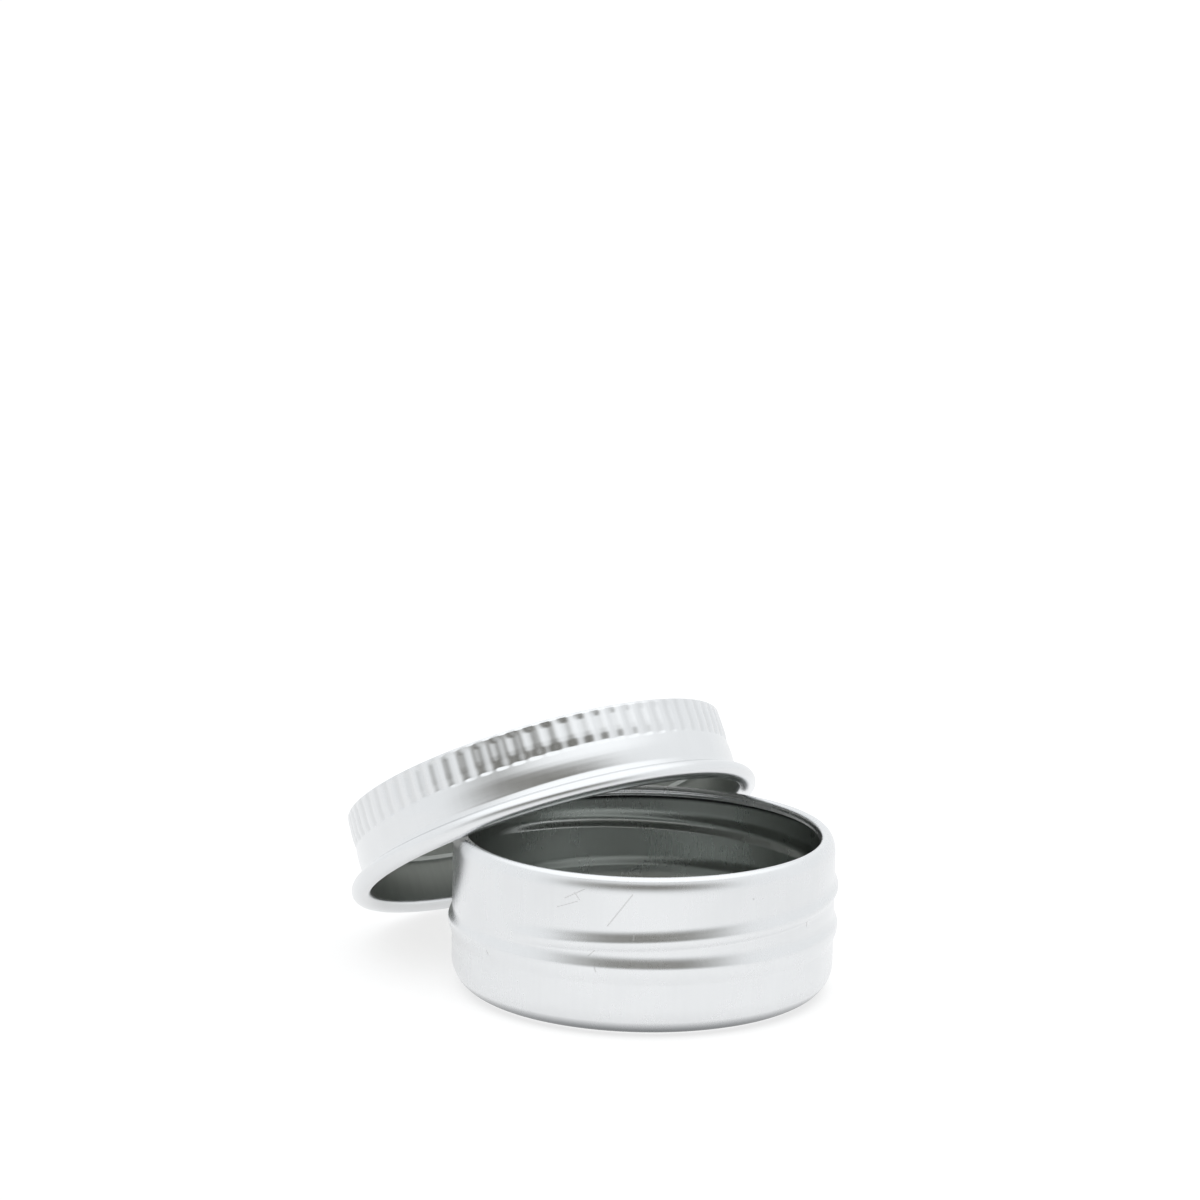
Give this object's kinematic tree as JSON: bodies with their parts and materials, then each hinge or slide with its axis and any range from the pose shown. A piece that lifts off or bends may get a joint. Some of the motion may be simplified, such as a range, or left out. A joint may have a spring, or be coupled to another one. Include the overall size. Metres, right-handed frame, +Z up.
{
  "type": "screw-lid candle tin",
  "caption": "Shallow round aluminium tin with a rolled rim and screw thread, open, its knurled lid leaning on the rim, with a loose foam liner under the lid's top.",
  "frame": {"origin": "centre of the tin's flat foot, on the ground", "axes": "+Z up along the tin's axis, +Y towards the leaning lid's low edge, X across"},
  "size_m": [0.0514, 0.0669, 0.0336],
  "materials": {
    "tin_metal": "satin, finely brushed",
    "lid_metal": "satin, finely brushed",
    "liner_foam": "white closed-cell foam"
  },
  "bodies": {
    "tin": {"tin_base": "tin_metal"},
    "liner": {"lid_liner": "liner_foam"},
    "lid": {"tin_lid": "lid_metal"}
  },
  "joints": [
    {"name": "lid_swing", "type": "hinge", "parent": "tin", "child": "liner", "pos_m": [0, -0.00329, -0.01695], "axis": [1, 0, 0], "range_deg": [0, 30.8]},
    {"name": "lid_turn", "type": "hinge", "parent": "liner", "child": "lid", "pos_m": [0, 0.01825, 0.01276], "axis": [0, 0.512, 0.859], "continuous": true}
  ]
}
